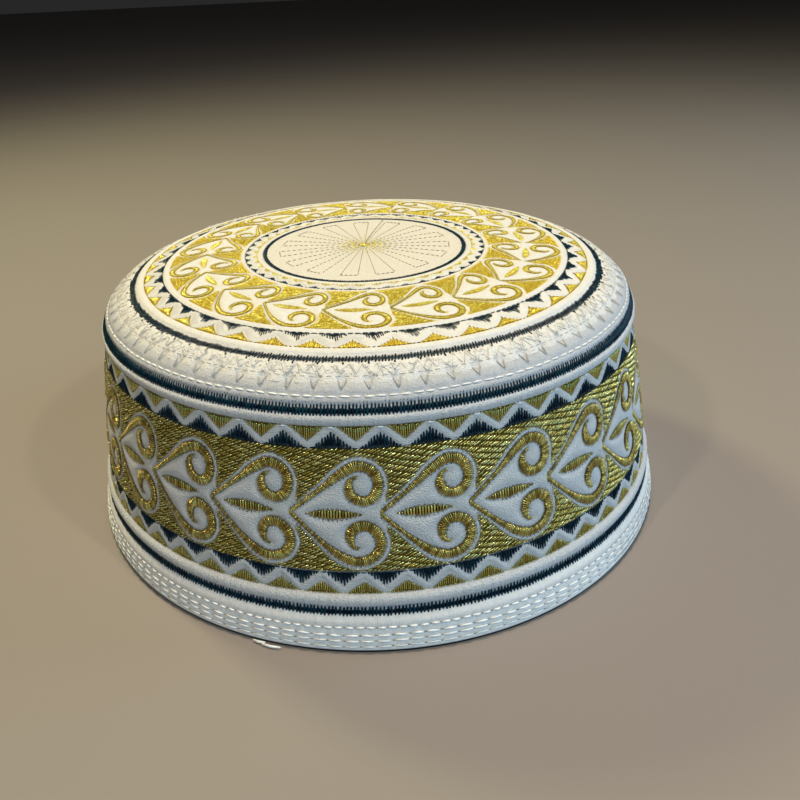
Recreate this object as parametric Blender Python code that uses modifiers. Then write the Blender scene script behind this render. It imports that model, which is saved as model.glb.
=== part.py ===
"""Embroidered prayer cap, standing on its hem with its front towards -Y. Metres, +Z up.

Two cloth pieces: a domed crown panel, and a tapering side wall whose shoulder rolls in under the
crown panel's edge. Both are turned about the cap's axis and then drawn slightly oval. The head goes
in from below, so the cap is hollow and its hem is open.
"""

import math

import bpy
import numpy as np

# Driving dimensions
WALL_THICKNESS = 0.0022
HEM_ROUND = 0.0006
CROWN_THICKNESS = 0.0016
CROWN_EDGE_THICKNESS = 0.0012
SEAM_GAP = 0.0004
SEAM_ALLOWANCE = 0.0050
OVAL = 0.0176
OVAL_TURN = math.radians(23.9)
TURN_STEPS = 64

# Outer line of the crown panel, from the axis out to its edge: (radius, height) in metres
CROWN_ROWS = [
    (0.0000, 0.0773),  # centre of the medallion
    (0.0317, 0.0767),  # ring round the medallion
    (0.0470, 0.0761),  # middle of the scroll band
    (0.0612, 0.0750),  # outer edge of the scroll band
    (0.0675, 0.0738),  # zigzag border
    (0.0727, 0.0722),  # outer ring
    (0.0768, 0.0701),  # edge, lapped over the side wall
]

# Outer line of the side wall from the crown panel's edge down to the hem: (radius, height) in metres
SIDE_ROWS = [
    (0.0787, 0.0682),  # puffed shoulder
    (0.0806, 0.0666),  # running stitch
    (0.0818, 0.0644),  # upper ring
    (0.0827, 0.0622),  # roll under the upper ring
    (0.0826, 0.0602),  # edge of the upper zigzag border
    (0.0834, 0.0551),  # top of the scroll band
    (0.0864, 0.0380),  # middle of the scroll band
    (0.0890, 0.0229),  # foot of the scroll band
    (0.0898, 0.0168),  # edge of the lower zigzag border
    (0.0908, 0.0150),  # roll over the lower ring
    (0.0909, 0.0117),  # lower ring
    (0.0921, 0.0090),  # plain cloth of the hem
    (0.0925, 0.0069),  # first quilted row
    (0.0931, 0.0044),  # second quilted row
    (0.0936, 0.0016),  # hem edge
]

CLOTH_COLOUR = (0.80, 0.80, 0.78, 1.0)
CLOTH_ROUGHNESS = 0.6


def clear_scene():
    for old_object in list(bpy.data.objects):
        bpy.data.objects.remove(old_object, do_unlink=True)


def smooth_line(rows, between):
    """Points of a smooth line through the rows, with a few points between each two rows."""
    rows = np.array(rows)
    before = np.vstack([2 * rows[0] - rows[1], rows[:-1]])
    after = np.vstack([rows[1:], 2 * rows[-1] - rows[-2]])
    slopes = (after - before) / 2
    points = [rows[0]]
    for i in range(len(rows) - 1):
        for step in range(1, between + 2):
            t = step / (between + 1)
            points.append(
                (2 * t**3 - 3 * t**2 + 1) * rows[i]
                + (t**3 - 2 * t**2 + t) * slopes[i]
                + (3 * t**2 - 2 * t**3) * rows[i + 1]
                + (t**3 - t**2) * slopes[i + 1]
            )
    return np.array(points)


def inset_line(line, depth):
    """The line moved into the cloth by depth, square to itself. The line runs outwards and down."""
    along = np.gradient(line, axis=0)
    along /= np.linalg.norm(along, axis=1)[:, None]
    inward = np.column_stack([along[:, 1], -along[:, 0]])
    return line + inward * np.reshape(depth, (-1, 1))


def rounded_end(first, last, steps=4):
    """Points between two ends of a cloth edge, on the half circle that bulges past them."""
    first = np.array(first)
    last = np.array(last)
    middle = (first + last) / 2
    across = (first - last) / 2
    outward = np.array([-across[1], across[0]])
    angles = [math.pi * i / steps for i in range(1, steps)]
    return [middle + across * math.cos(a) - outward * math.sin(a) for a in angles]


def turned_piece(name, outline, closed, collection, material):
    """Turns an outline in the XZ plane about the cap's axis, and draws it slightly oval."""
    corners = [(radius, 0.0, height) for radius, height in outline]
    edges = [(i, i + 1) for i in range(len(corners) - 1)]
    if closed:
        edges.append((len(corners) - 1, 0))
    mesh = bpy.data.meshes.new(name)
    mesh.from_pydata(corners, edges, [])
    piece = bpy.data.objects.new(name, mesh)
    piece.data.materials.append(material)
    collection.objects.link(piece)
    turn = piece.modifiers.new("Turn", "SCREW")
    turn.axis = "Z"
    turn.angle = 2 * math.pi
    turn.steps = TURN_STEPS
    turn.render_steps = TURN_STEPS
    turn.use_merge_vertices = True
    turn.merge_threshold = 0.00001
    turn.use_smooth_shade = True
    piece.rotation_euler = (0.0, 0.0, OVAL_TURN)
    piece.scale = (1 - OVAL, 1 + OVAL, 1.0)
    return piece


def crown_outline():
    """From the top of the axis out to the edge, round it, and back to the axis underneath."""
    top = smooth_line(CROWN_ROWS, 1)
    share = top[:, 0] / top[-1, 0]
    thickness = CROWN_THICKNESS + (CROWN_EDGE_THICKNESS - CROWN_THICKNESS) * share**2
    underside = inset_line(top, thickness)
    underside[0, 0] = 0.0
    edge = rounded_end(top[-1], underside[-1])
    return list(top) + edge + list(underside[::-1])


def seam_line():
    """Outer line of the side wall where it lies under the crown panel, from its inner end outwards."""
    under_crown = inset_line(smooth_line(CROWN_ROWS, 3), CROWN_EDGE_THICKNESS + SEAM_GAP)
    inner_radius = CROWN_ROWS[-1][0] - SEAM_ALLOWANCE
    return [tuple(point) for point in under_crown if point[0] > inner_radius]


def side_outline():
    """Closed section of the wall: down its outer line, round the hem, and up its inner line."""
    outer = np.array(seam_line() + SIDE_ROWS)
    inner = inset_line(outer, WALL_THICKNESS)
    hem_outer = outer[-1, 0]
    hem_inner = inner[-1, 0]
    inner[-1, 1] = outer[-1, 1]
    hem = [
        (hem_outer, HEM_ROUND),
        (hem_outer - HEM_ROUND, 0.0),
        (hem_inner + HEM_ROUND, 0.0),
        (hem_inner, HEM_ROUND),
    ]
    inner_end = rounded_end(inner[0], outer[0])
    return list(outer) + hem + list(inner[::-1]) + inner_end


def cloth_material():
    material = bpy.data.materials.new("white_cloth")
    material.use_nodes = True
    shader = material.node_tree.nodes["Principled BSDF"]
    shader.inputs["Base Color"].default_value = CLOTH_COLOUR
    shader.inputs["Roughness"].default_value = CLOTH_ROUGHNESS
    shader.inputs["Metallic"].default_value = 0.0
    return material


def build():
    clear_scene()
    cap = bpy.data.collections.new("prayer_cap")
    bpy.context.scene.collection.children.link(cap)
    cloth = cloth_material()
    turned_piece("crown_panel", crown_outline(), False, cap, cloth)
    turned_piece("side_wall", side_outline(), True, cap, cloth)


build()
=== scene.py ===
"""Looks of the embroidered prayer cap: quilted cloth, scroll of hearts, zigzag borders and stitching.

Sizes are in millimetres and angles in degrees round the cap, from its front, plus to the right.
Each face of the cap is a line turned about the axis. A place on it is an angle and a length y along
that line, which runs up the side and inwards over the crown.
"""

import math
from collections import namedtuple

import bmesh
import bpy
import numpy as np
from mathutils import Matrix, Vector


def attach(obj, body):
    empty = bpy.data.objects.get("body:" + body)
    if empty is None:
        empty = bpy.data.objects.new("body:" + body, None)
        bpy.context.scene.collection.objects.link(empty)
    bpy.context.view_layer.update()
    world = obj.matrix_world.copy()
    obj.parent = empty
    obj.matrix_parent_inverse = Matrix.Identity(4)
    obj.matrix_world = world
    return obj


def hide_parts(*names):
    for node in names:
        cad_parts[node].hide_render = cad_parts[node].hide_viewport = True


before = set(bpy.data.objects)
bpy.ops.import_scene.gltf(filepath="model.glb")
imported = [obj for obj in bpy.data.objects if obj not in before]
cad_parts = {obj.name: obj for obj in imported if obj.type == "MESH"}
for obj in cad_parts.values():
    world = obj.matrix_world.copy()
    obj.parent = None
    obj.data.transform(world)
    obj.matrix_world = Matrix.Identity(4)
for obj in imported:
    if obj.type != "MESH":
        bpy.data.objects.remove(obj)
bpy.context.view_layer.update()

MM = 0.001
MERGE_DISTANCE = 0.000002

# The cap's oval: how much longer and narrower than round, and which way its long axis lies
OVAL = 0.0176
OVAL_TURN = 23.9 + 90.0

# Outer lines of the two cloth pieces, as (radius, height), from the outside in or the bottom up
CROWN_ROWS = [
    (78.2, 68.9),  # scallops of the edge, down on the shoulder
    (76.8, 70.1),  # edge, lapped over the side
    (72.7, 72.2),  # outer ring
    (67.5, 73.8),  # zigzag border
    (61.2, 75.0),  # outer edge of the scroll
    (47.0, 76.1),  # middle of the scroll
    (31.7, 76.7),  # ring round the medallion
    (0.0, 77.3),  # centre of the medallion
]
SIDE_ROWS = [
    (93.6, 1.7),  # hem edge
    (93.1, 4.4),  # second quilted row
    (92.5, 6.9),  # first quilted row
    (92.1, 9.0),  # plain cloth of the hem
    (90.9, 11.7),  # lower ring
    (90.8, 15.0),  # roll over the lower ring
    (89.8, 16.8),  # edge of the lower zigzag border
    (89.0, 22.9),  # foot of the scroll
    (86.4, 38.0),  # middle of the scroll
    (83.4, 55.1),  # top of the scroll
    (82.6, 60.2),  # edge of the upper zigzag border
    (82.7, 62.2),  # roll under the upper ring
    (81.8, 64.4),  # upper ring
    (80.6, 66.6),  # running stitch
    (78.7, 68.2),  # puffed shoulder
]
HEM_TURN_ROWS = [(91.3, 0.6), (92.2, 0.05), (93.35, 0.05), (93.6, 0.5)]
SHOULDER_TOP_ROWS = [(76.6, 69.0), (73.0, 70.3)]
WALL_THICKNESS = 2.2
CROWN_THICKNESS = 1.5

# How far the cloth lies under these lines where it has no puff
SINK = 0.05


def smooth_line(rows, between=10):
    """Points of a smooth line through the rows."""
    rows = np.array(rows, float)
    before = np.vstack([2 * rows[0] - rows[1], rows[:-1]])
    after = np.vstack([rows[1:], 2 * rows[-1] - rows[-2]])
    slopes = (after - before) / 2
    t = np.arange(between)[:, None] / between
    pieces = [
        (2 * t**3 - 3 * t**2 + 1) * rows[i]
        + (t**3 - 2 * t**2 + t) * slopes[i]
        + (3 * t**2 - 2 * t**3) * rows[i + 1]
        + (t**3 - t**2) * slopes[i + 1]
        for i in range(len(rows) - 1)
    ]
    return np.vstack(pieces + [rows[-1:]])


class TurnedFace:
    """A face of the cap, turned about its axis from a line that runs up and inwards."""

    def __init__(self, rows, solid, slot):
        """solid is the node that its cloth stands for; slot, the cloth's finish, is stored but not used.
        """
        self.solid = solid
        self.slot = slot
        line = smooth_line(rows)
        steps = np.linalg.norm(np.diff(line, axis=0), axis=1)
        self.y = np.concatenate([[0.0], np.cumsum(steps)])
        self.radius = line[:, 0]
        self.height = line[:, 1]
        along = np.gradient(line, self.y, axis=0)
        along /= np.linalg.norm(along, axis=1)[:, None]
        self.out_radius = along[:, 1]
        self.out_height = -along[:, 0]

    def y_at_height(self, height):
        return np.interp(height, self.height, self.y)

    def y_at_radius(self, radius):
        return np.interp(-radius, -self.radius, self.y)

    def radius_at(self, y):
        return np.interp(y, self.y, self.radius)

    def per_degree(self, y):
        """Millimetres round the cap in one degree, at y."""
        return self.radius_at(y) * math.pi / 180

    def place(self, angle, y, lift):
        """Points in metres at these angles and lengths, lifted off the face."""
        radius = self.radius_at(y) + np.interp(y, self.y, self.out_radius) * lift
        height = np.interp(y, self.y, self.height)
        height = height + np.interp(y, self.y, self.out_height) * lift
        turn = np.radians(angle - 90.0 - OVAL_TURN)
        turn = turn + OVAL / 2 * np.sin(2 * turn)
        along = radius * np.cos(turn) * (1 + OVAL)
        across = radius * np.sin(turn) * (1 - OVAL)
        tilt = math.radians(OVAL_TURN)
        x = along * math.cos(tilt) - across * math.sin(tilt)
        y = along * math.sin(tilt) + across * math.cos(tilt)
        return np.stack([x, y, height], axis=-1) * MM


CROWN = TurnedFace(CROWN_ROWS, "crown_panel", "crown_cloth")
SIDE = TurnedFace(HEM_TURN_ROWS + SIDE_ROWS + SHOULDER_TOP_ROWS, "side_wall", "side_cloth")
crown_y = CROWN.y_at_radius
side_y = SIDE.y_at_height


# Mesh helpers


def link_new(name, mesh):
    piece = bpy.data.objects.new(name, mesh)
    bpy.context.scene.collection.objects.link(piece)
    return piece


def new_object(name, builder):
    mesh = bpy.data.meshes.new(name)
    builder.to_mesh(mesh)
    builder.free()
    return link_new(name, mesh)


def read_points(mesh):
    points = np.empty(len(mesh.vertices) * 3, np.float32)
    mesh.vertices.foreach_get("co", points)
    return points.reshape(-1, 3).astype(float)


def read_numbers(items, key):
    """A whole number of each of a mesh's corners or faces."""
    numbers = np.empty(len(items), np.int32)
    items.foreach_get(key, numbers)
    return numbers


def write_points(mesh, points):
    mesh.vertices.foreach_set("co", points.astype(np.float32).ravel())


def write_values(mesh, name, values):
    """Stores a number for each point, which a material reads by this name."""
    layer = mesh.attributes.new(name, "FLOAT", "POINT")
    layer.data.foreach_set("value", np.asarray(values, np.float32).ravel())


def close_seams(mesh):
    builder = bmesh.new()
    builder.from_mesh(mesh)
    bmesh.ops.remove_doubles(builder, verts=builder.verts, dist=MERGE_DISTANCE)
    builder.to_mesh(mesh)
    builder.free()
    mesh.shade_smooth()


def write_cloth_map(mesh, across, up):
    """A map in millimetres of cloth, for weave that follows the surface."""
    corners = read_numbers(mesh.loops, "vertex_index")
    layer = mesh.uv_layers.new(name="cloth")
    flat = np.column_stack([across[corners], up[corners]])
    layer.data.foreach_set("uv", flat.astype(np.float32).ravel())


def turned_cloth(name, face, columns, rows, lift, stains):
    """A sheet of cloth all round a face, with a row of points at each of these levels."""
    builder = bmesh.new()
    bmesh.ops.create_grid(builder, x_segments=columns, y_segments=len(rows) - 1, size=1.0)
    piece = new_object(name, builder)
    mesh = piece.data
    flat = read_points(mesh)
    angle = (flat[:, 0] + 1) * 180.0
    row = np.rint((flat[:, 1] + 1) / 2 * (len(rows) - 1)).astype(int)
    y = rows[row]
    write_points(mesh, face.place(angle, y, lift(angle, y)))
    for stain, values in (stains(angle, y) if stains else {}).items():
        write_values(mesh, stain, values)
    write_cloth_map(mesh, angle * face.per_degree(rows.mean()), y)
    close_seams(mesh)
    return piece


class Prototype:
    """A small mesh made once, and laid again and again on the cloth."""

    def __init__(self, builder):
        mesh = bpy.data.meshes.new("prototype")
        builder.to_mesh(mesh)
        builder.free()
        self.points = read_points(mesh)
        self.corners = read_numbers(mesh.loops, "vertex_index")
        self.starts = read_numbers(mesh.polygons, "loop_start")
        bpy.data.meshes.remove(mesh)

    def lay(self, name, points, values, facets=False):
        """One object that holds a copy of the prototype for each row of points."""
        copies = len(points)
        size = len(self.points)
        mesh = bpy.data.meshes.new(name)
        mesh.vertices.add(copies * size)
        write_points(mesh, points.reshape(-1, 3))
        order = np.arange(copies)[:, None]
        mesh.loops.add(copies * len(self.corners))
        corners = (order * size + self.corners).ravel()
        mesh.loops.foreach_set("vertex_index", corners.astype(np.int32))
        mesh.polygons.add(copies * len(self.starts))
        starts = (order * len(self.corners) + self.starts).ravel()
        mesh.polygons.foreach_set("loop_start", starts.astype(np.int32))
        mesh.update(calc_edges=True)
        for stored, number in values.items():
            write_values(mesh, stored, np.repeat(number, size))
        if not facets:
            mesh.shade_smooth()
        return link_new(name, mesh)


# How much wider than high a stitch is
STITCH_WIDENING = 1.15
# Under 1, this moves a stitch's rings towards its ends and so makes them blunt
BLUNT = 0.6
# Under 1, this gives more very dark and very bright stitches
SHADE_SPREAD = 0.6


def spindle(rings):
    """A stitch: a three-sided spindle with its length along Z and one edge up."""
    builder = bmesh.new()
    bmesh.ops.create_uvsphere(builder, u_segments=3, v_segments=rings, radius=1.0)
    bmesh.ops.scale(builder, vec=(STITCH_WIDENING, 1.0, 1.0), verts=builder.verts)
    # Blender's own order of these faces can change from one run to the next
    weights = Vector((1.0, 3.0, 20.0))
    builder.faces.sort(key=lambda face: round(face.calc_center_median().dot(weights), 3))
    return Prototype(builder)


DOT = spindle(2)
SHORT_STITCH = spindle(3)
LONG_STITCH = spindle(4)


class Stitches:
    """Stitches of one thread, gathered as lines between two places on a face."""

    def __init__(self, seed, roll=0.0, tumble=0.0, facets=False):
        """roll and tumble turn each thread about its length, in radians: one for all, one at random.

        With facets, its sides are flat and glint like foil.
        """
        self.draw = np.random.default_rng(seed)
        self.roll = roll
        self.tumble = tumble
        self.facets = facets
        self.rows = []

    def add(self, face, start, end, width, rise, lift=0.0, bow=None):
        """Adds stitches between start and end, which are (angles, lengths).

        rise is how thick the thread is, lift how far its ends stand off the face, and bow how much
        further its middle does.
        """
        places = np.broadcast_arrays(*start, *end)
        bow = rise if bow is None else bow
        sizes = [np.broadcast_to(value, places[0].shape) for value in (width, rise, lift, bow)]
        self.rows.append((face, np.column_stack([c.ravel() for c in (*places, *sizes)])))

    def points(self, face, rows, prototype):
        flat = prototype.points
        angle_a, y_a, angle_b, y_b, width, rise, lift, bow = (
            rows[:, i : i + 1] for i in range(8)
        )
        scale = face.per_degree((y_a + y_b) / 2)
        run = np.maximum(np.hypot((angle_b - angle_a) * scale, y_b - y_a), 1e-6)
        left_x = -(y_b - y_a) / run
        left_y = (angle_b - angle_a) * scale / run
        t = 0.5 + 0.5 * np.sign(flat[:, 2]) * np.abs(flat[:, 2]) ** BLUNT
        turn = self.roll + self.tumble * self.draw.normal(0, 1, (len(rows), 1))
        across = flat[:, 0] * width / 2
        out = flat[:, 1] * rise / 2
        offset = across * np.cos(turn) - out * np.sin(turn)
        angle = angle_a + t * (angle_b - angle_a) + offset * left_x / scale
        y = y_a + t * (y_b - y_a) + offset * left_y
        arch = 1 - (2 * t - 1) ** 2
        height = lift + bow * arch + across * np.sin(turn) + out * np.cos(turn)
        return face.place(angle, y, height)

    def sew(self, name, prototype, shades):
        """One piece of all the stitches. Each takes a shade between dark and bright."""
        points = np.vstack([self.points(face, rows, prototype) for face, rows in self.rows])
        low, high = shades
        shade = low + (high - low) * self.draw.beta(SHADE_SPREAD, SHADE_SPREAD, len(points))
        return prototype.lay(name, points, {"shade": shade}, self.facets)


# How many flat strips make up a ridge's round
RIDGE_SIDES = 4


def ridge_points(face, angle, y, width, rise):
    """Points of rounded ridges along lines of (angle, y), one row of points for each line."""
    scale = face.per_degree(y)
    run_x = np.gradient(angle, axis=-1) * scale
    run_y = np.gradient(y, axis=-1)
    run = np.maximum(np.hypot(run_x, run_y), 1e-9)
    places = []
    for i in range(RIDGE_SIDES + 1):
        part = 2 * i / RIDGE_SIDES - 1
        offset = part * width / 2
        height = rise * (1 - part**2) ** 0.7 - SINK
        beside_angle = angle - offset * run_y / run / scale
        places.append(face.place(beside_angle, y + offset * run_x / run, height))
    return np.stack(places, axis=-2)


def ridges(name, face, angle, y, width, rise):
    """Rounded ridges of cloth, one along each row of angle and y."""
    count = angle.shape[-1]
    builder = bmesh.new()
    bmesh.ops.create_grid(builder, x_segments=count - 1, y_segments=RIDGE_SIDES, size=1.0)
    strip = Prototype(builder)
    step = np.rint((strip.points[:, 0] + 1) / 2 * (count - 1)).astype(int)
    part = np.rint((strip.points[:, 1] + 1) / 2 * RIDGE_SIDES).astype(int)
    piece = strip.lay(name, ridge_points(face, angle, y, width, rise)[:, step, part], {})
    across = (angle * face.per_degree(y))[:, step] + 0.1 * part
    up = y[:, step] + part * np.mean(width) / RIDGE_SIDES
    write_cloth_map(piece.data, across.ravel(), up.ravel())
    close_seams(piece.data)
    return piece


# Rules for puffs, waves and places round the cap


def waves(angle, counts, seed):
    """Uneven waves round the cap, mostly between -1 and 1."""
    draw = np.random.default_rng(seed)
    total = 0.0
    for count, phase in zip(counts, draw.uniform(0, 2 * math.pi, len(counts))):
        total = total + np.cos(np.radians(angle) * count + phase)
    return total / math.sqrt(len(counts))


def swell(y, low, high, rise):
    """A rounded puff of cloth between two stitched lines."""
    part = np.clip((y - low) / (high - low), 0, 1)
    return rise * np.sqrt(np.maximum(0.0, 1 - (2 * part - 1) ** 2))


def step_up(value, low, high):
    part = np.clip((value - low) / (high - low), 0, 1)
    return part * part * (3 - 2 * part)


def turns(count, first=0.0):
    """Angles of this many even steps round the cap."""
    return first + np.arange(count) * 360 / count


def zigzag(count, first, peak, valley, steps=16, rounding=0.45):
    """A rounded zigzag all round the cap, with a peak at first and at every step on."""
    angle = np.linspace(0, 360, count * steps + 1)
    phase = np.mod((angle - first) * count / 360, 1)
    part = np.abs(2 * phase - 1) - 0.5
    rounded = np.sin(np.pi * part) / 2
    wave = rounding * rounded + (1 - rounding) * part
    return angle, valley + (0.5 + wave) * (peak - valley)


def levels(*marks):
    """Levels from a level, the number of steps to the next one, that level, and so on."""
    found = [
        np.linspace(low, high, steps, endpoint=False)
        for low, steps, high in zip(marks[:-2:2], marks[1::2], marks[2::2])
    ]
    return np.concatenate(found + [[marks[-1]]])


# The heart of the scroll, in millimetres from its tip on the side of the cap

HEART_PITCH = 22.5
UPPER_LOBE = [
    (0.0, 0.0), (4.6, 3.6), (9.2, 7.2), (13.4, 10.5), (17.6, 12.5), (21.2, 11.2), (22.6, 7.8),
    (21.4, 4.5), (18.8, 3.3), (16.1, 4.4), (15.2, 6.9), (15.9, 9.0), (17.3, 9.6),
]
LOWER_LOBE = [
    (0.0, 0.0), (4.4, -4.4), (8.4, -8.2), (12.3, -11.3), (16.3, -12.9), (20.3, -11.8), (22.4, -8.4),
    (21.3, -4.6), (18.5, -3.1), (15.7, -4.1), (14.9, -6.5), (15.5, -8.7), (16.9, -9.4),
]
LOBE_STEPS = 140
SATIN_THIN = 1.25
SATIN_WIDE = 2.9
OUTLINE_THIN = 0.62
OUTLINE_WIDE = 1.10
OUTLINE_RISE = 0.26
OUTLINE_LAST = int(0.70 * LOBE_STEPS)
HEART_PUFF = 0.62
LEAF_START = 4.3
LEAF_END = 18.2
LEAF_HALF = 1.5
LEAF_MIDDLE = -0.2
LEAF_STEPS = 40
NECK_START = 17
NECK_END = 24
NECK_HALF = 1.3
BAND_LOW = -15.4
BAND_HIGH = 16.8
TILE_STEP = 0.15
FAR = 99.0


def lengths_along(line):
    """How far along the line each of its points lies."""
    steps = np.linalg.norm(np.diff(line, axis=0), axis=1)
    return np.concatenate([[0.0], np.cumsum(steps)])


def even_line(points):
    """The smooth line through the points, in even steps, and its length."""
    line = smooth_line(points, 16)
    length = lengths_along(line)
    even = np.linspace(0, length[-1], LOBE_STEPS + 1)
    line = np.column_stack([np.interp(even, length, line[:, i]) for i in range(2)])
    return line, length[-1]


def satin_width(part):
    """Width of a lobe's satin at each part of its length, from the tip to the curl's end."""
    wide = SATIN_THIN + (SATIN_WIDE - SATIN_THIN) * step_up(part, 0.15, 0.45)
    return wide * (1 - 0.65 * step_up(part, 0.88, 1.0))


def outline_width(part):
    """Width of the white cloth outside the satin."""
    return OUTLINE_THIN + (OUTLINE_WIDE - OUTLINE_THIN) * step_up(part, 0.10, 0.42)


def directions(line):
    """Unit vectors along the line and to its left, at each of its points."""
    along = np.gradient(line, axis=0)
    along /= np.linalg.norm(along, axis=1)[:, None]
    return along, np.column_stack([-along[:, 1], along[:, 0]])


def beside(line, offset):
    """The line moved to its left by offset."""
    return line + directions(line)[1] * np.reshape(offset, (-1, 1))


def lobe(points, left):
    """A lobe's satin line, the outline beside it, and the width of satin along it."""
    line, length = even_line(points)
    part = np.linspace(0, 1, len(line))
    width = satin_width(part)
    edge = outline_width(part)
    return {
        "left": left,
        "line": line,
        "length": length,
        "width": width,
        "outline": beside(line, left * (0.82 * width + edge) / 2),
        "outline_width": edge,
        "rim": beside(line, left * (0.44 * width + edge * 0.9)),
    }


LOBES = (lobe(UPPER_LOBE, 1), lobe(LOWER_LOBE, -1))


def inside_polygon(points, corners):
    """Whether each point lies in the closed polygon."""
    found = np.zeros(len(points), bool)
    for (x_a, y_a), (x_b, y_b) in zip(corners, np.roll(corners, -1, axis=0)):
        if y_a == y_b:
            continue
        crosses = (y_a > points[:, 1]) != (y_b > points[:, 1])
        where = x_a + (points[:, 1] - y_a) / (y_b - y_a) * (x_b - x_a)
        found ^= crosses & (points[:, 0] < where)
    return found


def leaf_half(x):
    """Half the height of the leaf in a heart, at each x."""
    part = np.clip((x - LEAF_START) / (LEAF_END - LEAF_START), 0, 1)
    return LEAF_HALF * np.sin(np.pi * part**0.9) ** 0.9


def near(points, line, half):
    """Distance of each point outside a band of this half width along the line."""
    best = np.full(len(points), FAR)
    for corner, room in zip(line, half):
        best = np.minimum(best, np.hypot(*(points - corner).T) - room)
    return best


def heart_tiles(squeeze):
    """Charts over one heart: where the cloth is white, how far it puffs up, and where satin lies."""
    across = np.arange(0, HEART_PITCH - TILE_STEP / 2, TILE_STEP)
    up = np.arange(BAND_LOW, BAND_HIGH + TILE_STEP / 2, TILE_STEP)
    grid = np.stack(np.meshgrid(across, up), axis=-1)
    places = grid.reshape(-1, 2)
    upper, lower = (side["rim"][:OUTLINE_LAST] for side in LOBES)
    heart = np.vstack([upper, lower[::-1]])
    white = np.zeros(len(places), bool)
    clear = np.full(len(places), FAR)
    leaf_x = np.linspace(LEAF_START, LEAF_END, LEAF_STEPS)
    leaf = np.column_stack([leaf_x, np.full(LEAF_STEPS, LEAF_MIDDLE)])
    for shift in (-HEART_PITCH, 0.0):
        moved = (places - (shift, 0.0)) / (squeeze, 1.0)
        x, y = moved.T
        white |= inside_polygon(moved, heart)
        white |= (x > NECK_START) & (x < NECK_END) & (np.abs(y) < NECK_HALF)
        for side in LOBES:
            clear = np.minimum(clear, near(moved, side["line"][::2], side["width"][::2] / 2))
        clear = np.minimum(clear, near(moved, leaf, leaf_half(leaf_x)))
    puff = np.where(white, HEART_PUFF * (1 - np.exp(-np.maximum(clear, 0) / 0.9)), 0.0)
    white = white.reshape(grid.shape[:2]).astype(float)
    shifts = [(i, j) for i in range(-2, 3) for j in range(-2, 3)]
    white = sum(np.roll(white, shift, axis=(0, 1)) for shift in shifts) / len(shifts)
    return white, puff.reshape(white.shape), step_up(-clear, 0.05, 0.35).reshape(white.shape)


def read_tile(tile, x, y):
    """The chart's value at places in the scroll, which repeats along x."""
    column = np.mod(x, HEART_PITCH) / TILE_STEP
    row = np.clip((y - BAND_LOW) / TILE_STEP, 0, tile.shape[0] - 1.001)
    left = np.floor(column).astype(int)
    low = np.floor(row).astype(int)
    a = column - left
    b = row - low
    left = left % tile.shape[1]
    right = (left + 1) % tile.shape[1]
    lower = tile[low, left] * (1 - a) + tile[low, right] * a
    upper = tile[low + 1, left] * (1 - a) + tile[low + 1, right] * a
    return lower * (1 - b) + upper * b


class Scroll:
    """A band of hearts round the cap. Each heart's tip points to lower angles."""

    def __init__(self, face, count, first, middle, height, drift, squeeze, low, high):
        """height and squeeze are the hearts' share of their full size, up and along the band.

        drift is by how many degrees the hearts of the cap's front crowd together.
        """
        self.face = face
        self.squeeze = squeeze
        self.white_tile, self.puff_tile, self.satin_tile = heart_tiles(squeeze)
        self.count = count
        self.first = first
        self.middle = middle
        self.height = height
        self.drift = drift
        self.low = low
        self.high = high
        self.pitch = 360.0 / count

    def place(self, heart, x, y):
        """Angle and length on the face, of a place in the heart's own millimetres."""
        even = self.first + (heart + x * self.squeeze / HEART_PITCH) * self.pitch
        angle = even - self.drift * np.sin(np.radians(even))
        return angle, self.middle + y * self.height

    def chart(self, angle, y):
        """Place on the tiles, of an angle and length on the face."""
        even = angle + self.drift * np.sin(np.radians(angle))
        even = angle + self.drift * np.sin(np.radians(even))
        return (even - self.first) / self.pitch * HEART_PITCH, (y - self.middle) / self.height

    def white(self, angle, y):
        return read_tile(self.white_tile, *self.chart(angle, y))

    def gold(self, angle, y):
        """1 where gold thread covers the cloth, between the hearts or in their satin."""
        satin = read_tile(self.satin_tile, *self.chart(angle, y))
        covered = np.maximum(1 - self.white(angle, y), satin)
        return np.where((y > self.low - 0.2) & (y < self.high + 0.2), covered, 0.0)

    def puff(self, angle, y):
        inside = step_up(y, self.low, self.low + 0.6) * step_up(self.high - y, 0, 0.6)
        return read_tile(self.puff_tile, *self.chart(angle, y)) * inside


SIDE_SCROLL = Scroll(
    SIDE,
    count=24,
    first=1.5,
    middle=side_y(38.1),
    height=1.0,
    drift=1.15,
    squeeze=1.0,
    low=side_y(22.8),
    high=side_y(54.7),
)
CROWN_SCROLL = Scroll(
    CROWN,
    count=18,
    first=-12.0,
    middle=crown_y(50.2),
    height=0.76,
    drift=0.0,
    squeeze=0.94,
    low=crown_y(60.6),
    high=crown_y(39.2),
)


# Kinds of stitching

# How unevenly stitches stand in their row
UNEVEN = 0.12
# By how much of their spacing the ground's stitches move on from one row to the next
ROW_SHIFT = 0.37


def heart_ridges(name, scroll, scale, seed):
    """White cloth outline round each heart."""
    draw = np.random.default_rng(seed)
    hearts = np.arange(scroll.count)[:, None]
    angles = []
    lengths = []
    widths = []
    for side in LOBES:
        line = side["outline"][3:OUTLINE_LAST:3]
        angle, y = scroll.place(hearts, line[:, 0], line[:, 1])
        angles.append(angle)
        lengths.append(np.broadcast_to(y, angle.shape))
        width = side["outline_width"][3:OUTLINE_LAST:3]
        widths.append(width * draw.uniform(0.75, 1.25, angle.shape))
    width = np.vstack(widths) * scale
    rise = OUTLINE_RISE * scale * width / width.max()
    return ridges(name, scroll.face, np.vstack(angles), np.vstack(lengths), width, rise)


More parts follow.
